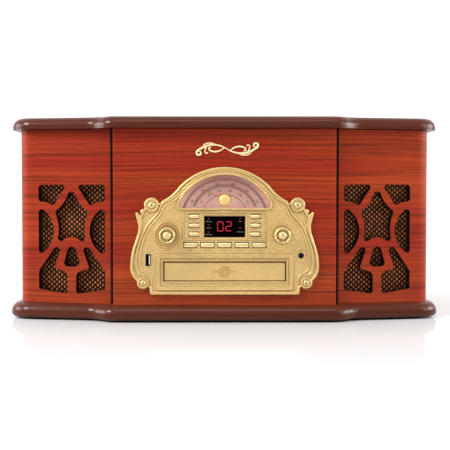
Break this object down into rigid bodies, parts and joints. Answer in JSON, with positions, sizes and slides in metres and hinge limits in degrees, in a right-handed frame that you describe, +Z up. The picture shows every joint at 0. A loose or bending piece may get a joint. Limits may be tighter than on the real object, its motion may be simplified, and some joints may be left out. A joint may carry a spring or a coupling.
{
  "type": "radio phonograph console",
  "caption": "Table-top wooden radio phonograph with a hinged lid over a belt-drive turntable, fretted speaker wings, a gilt dial fascia with knobs and keys, and a sliding disc tray.",
  "frame": {"origin": "bottom centre of the overall box, under the cabinet at table height", "axes": "+X to the right seen from the front, -Y to the front (fascia side), +Z up"},
  "size_m": [0.5, 0.364, 0.232],
  "materials": {
    "mahogany": "satin lacquer",
    "dark_moulding": "gloss lacquer",
    "panel_board": "matte stain",
    "gilt_plastic": "sand-textured gold paint",
    "gilt_keys": "satin gold",
    "black_plastic": "matte",
    "gloss_black": "gloss",
    "dial_card": "printed",
    "clear_lens": "clear",
    "rubber_black": "matte",
    "alu": "turned",
    "steel": "satin",
    "chrome_metal": "polished",
    "brass_metal": "lacquered",
    "circuit_board": "satin",
    "mesh_metal": "matte",
    "cord_thread": "matte"
  },
  "bodies": {
    "cabinet": {"base_board": "dark_moulding", "rubber_feet": "rubber_black", "side_shell_left": "mahogany", "side_shell_right": "mahogany", "front_panel": "mahogany", "rear_panel": "panel_board", "grille_meshes": "mesh_metal", "speakers": "mesh_metal", "hinge_cabinet_leaves": "brass_metal", "stay_rail": "brass_metal", "deck_plate": "black_plastic", "turntable_motor": "steel", "drive_belt": "rubber_black", "tonearm_base": "gloss_black", "fascia_plate": "gilt_plastic", "fascia_screws": "brass_metal", "dial_lens": "clear_lens", "dial_scale": "dial_card", "dial_cord": "cord_thread", "display_module": "gloss_black", "control_board": "circuit_board", "usb_port": "steel", "headphone_jack": "gloss_black", "cd_chassis": "black_plastic", "main_board": "circuit_board", "rear_connectors": "gloss_black", "badge_scroll": "brass_metal"},
    "lid": {"lid_frame": "dark_moulding", "lid_panel": "mahogany", "hinge_lid_leaves": "brass_metal", "stay_bracket": "brass_metal"},
    "stay": {"stay_arm": "brass_metal"},
    "platter": {"platter": "alu", "slip_mat": "rubber_black", "platter_spindle": "chrome_metal"},
    "pulley": {"motor_pulley": "brass_metal"},
    "yoke": {"arm_yoke": "chrome_metal"},
    "tonearm": {"arm_tube": "chrome_metal", "headshell": "gloss_black"},
    "cue_lever": {"cue_lever": "chrome_metal"},
    "lift": {"lift_rest": "chrome_metal"},
    "speed": {"speed_selector": "gloss_black"},
    "pointer": {"dial_pointer": "brass_metal"},
    "tuning": {"tuning_knob": "gilt_keys"},
    "volume": {"volume_knob": "gilt_keys"},
    "tray": {"cd_tray": "black_plastic", "tray_front": "gilt_plastic"},
    "hub": {"cd_hub": "black_plastic"},
    "gear": {"tray_gear": "black_plastic"},
    "key_left_top": {"key_left_top": "gilt_keys"},
    "key_left_middle": {"key_left_middle": "gilt_keys"},
    "key_left_bottom": {"key_left_bottom": "gilt_keys"},
    "key_right_top": {"key_right_top": "gilt_keys"},
    "key_right_middle": {"key_right_middle": "gilt_keys"},
    "key_right_bottom": {"key_right_bottom": "gilt_keys"},
    "key_row_1": {"key_row_1": "gilt_keys"},
    "key_row_2": {"key_row_2": "gilt_keys"},
    "key_row_3": {"key_row_3": "gilt_keys"},
    "key_row_4": {"key_row_4": "gilt_keys"},
    "key_row_5": {"key_row_5": "gilt_keys"}
  },
  "joints": [
    {"name": "lid_hinge", "type": "hinge", "parent": "cabinet", "child": "lid", "pos_m": [0, 0.177, 0.2183], "axis": [-1, 0, 0], "range_deg": [0, 65]},
    {"name": "stay_pivot", "type": "hinge", "parent": "lid", "child": "stay", "pos_m": [0.2194, 0.07238, 0.20933], "axis": [-1, 0, 0], "range_deg": [-130, 0]},
    {"name": "platter_spin", "type": "hinge", "parent": "cabinet", "child": "platter", "pos_m": [-0.066, 0.007, 0.175], "axis": [0, 0, 1], "continuous": true},
    {"name": "pulley_spin", "type": "hinge", "parent": "cabinet", "child": "pulley", "pos_m": [-0.1452, 0.0862, 0.163], "axis": [0, 0, 1], "continuous": true},
    {"name": "arm_swing", "type": "hinge", "parent": "cabinet", "child": "yoke", "pos_m": [0.12, 0.107, 0.188], "axis": [0, 0, -1], "range_deg": [0, 47]},
    {"name": "arm_lift", "type": "hinge", "parent": "yoke", "child": "tonearm", "pos_m": [0.12, 0.107, 0.188], "axis": [-1, 0, 0], "range_deg": [0, 3]},
    {"name": "cue_lever_turn", "type": "hinge", "parent": "cabinet", "child": "cue_lever", "pos_m": [0.145, 0.095, 0.182], "axis": [-1, 0, 0], "range_deg": [0, 50]},
    {"name": "lift_slide", "type": "slide", "parent": "cabinet", "child": "lift", "axis": [0, 0, 1], "range_m": [0, 0.0019]},
    {"name": "speed_slide", "type": "slide", "parent": "cabinet", "child": "speed", "axis": [1, 0, 0], "range_m": [0, 0.016]},
    {"name": "tuning_turn", "type": "hinge", "parent": "cabinet", "child": "tuning", "pos_m": [0.0643, -0.165, 0.0983], "axis": [0, -1, 0], "range_deg": [-968.8, 81.2]},
    {"name": "pointer_turn", "type": "hinge", "parent": "cabinet", "child": "pointer", "pos_m": [0, -0.16, 0.1375], "axis": [0, -1, 0], "range_deg": [-138.5, 11.7]},
    {"name": "volume_turn", "type": "hinge", "parent": "cabinet", "child": "volume", "pos_m": [-0.0643, -0.165, 0.0983], "axis": [0, -1, 0], "range_deg": [-150, 150]},
    {"name": "tray_slide", "type": "slide", "parent": "cabinet", "child": "tray", "axis": [0, -1, 0], "range_m": [0, 0.13]},
    {"name": "tray_gear_turn", "type": "hinge", "parent": "cabinet", "child": "gear", "pos_m": [0.0465, -0.148, 0.0475], "axis": [0, 0, -1], "range_deg": [0, 745.3]},
    {"name": "disc_spin", "type": "hinge", "parent": "cabinet", "child": "hub", "pos_m": [0, -0.0995, 0.052], "axis": [0, 0, 1], "continuous": true},
    {"name": "key_left_top_press", "type": "slide", "parent": "cabinet", "child": "key_left_top", "axis": [0, 1, 0], "range_m": [0, 0.001], "stiffness_N_per_m": 800},
    {"name": "key_left_middle_press", "type": "slide", "parent": "cabinet", "child": "key_left_middle", "axis": [0, 1, 0], "range_m": [0, 0.001], "stiffness_N_per_m": 800},
    {"name": "key_left_bottom_press", "type": "slide", "parent": "cabinet", "child": "key_left_bottom", "axis": [0, 1, 0], "range_m": [0, 0.001], "stiffness_N_per_m": 800},
    {"name": "key_right_top_press", "type": "slide", "parent": "cabinet", "child": "key_right_top", "axis": [0, 1, 0], "range_m": [0, 0.001], "stiffness_N_per_m": 800},
    {"name": "key_right_middle_press", "type": "slide", "parent": "cabinet", "child": "key_right_middle", "axis": [0, 1, 0], "range_m": [0, 0.001], "stiffness_N_per_m": 800},
    {"name": "key_right_bottom_press", "type": "slide", "parent": "cabinet", "child": "key_right_bottom", "axis": [0, 1, 0], "range_m": [0, 0.001], "stiffness_N_per_m": 800},
    {"name": "key_row_1_press", "type": "slide", "parent": "cabinet", "child": "key_row_1", "axis": [0, 1, 0], "range_m": [0, 0.001], "stiffness_N_per_m": 800},
    {"name": "key_row_2_press", "type": "slide", "parent": "cabinet", "child": "key_row_2", "axis": [0, 1, 0], "range_m": [0, 0.001], "stiffness_N_per_m": 800},
    {"name": "key_row_3_press", "type": "slide", "parent": "cabinet", "child": "key_row_3", "axis": [0, 1, 0], "range_m": [0, 0.001], "stiffness_N_per_m": 800},
    {"name": "key_row_4_press", "type": "slide", "parent": "cabinet", "child": "key_row_4", "axis": [0, 1, 0], "range_m": [0, 0.001], "stiffness_N_per_m": 800},
    {"name": "key_row_5_press", "type": "slide", "parent": "cabinet", "child": "key_row_5", "axis": [0, 1, 0], "range_m": [0, 0.001], "stiffness_N_per_m": 800}
  ],
  "couplings": [
    {"joint": "stay_pivot", "follows": "lid_hinge", "ratio": -2},
    {"joint": "pulley_spin", "follows": "platter_spin", "ratio": 14.798},
    {"joint": "arm_lift", "follows": "cue_lever_turn", "ratio": 0.06},
    {"joint": "lift_slide", "follows": "cue_lever_turn", "m_per_rad": 0.002162},
    {"joint": "pointer_turn", "follows": "tuning_turn", "ratio": 0.14286},
    {"joint": "tray_gear_turn", "follows": "tray_slide", "rad_per_m": 100}
  ]
}
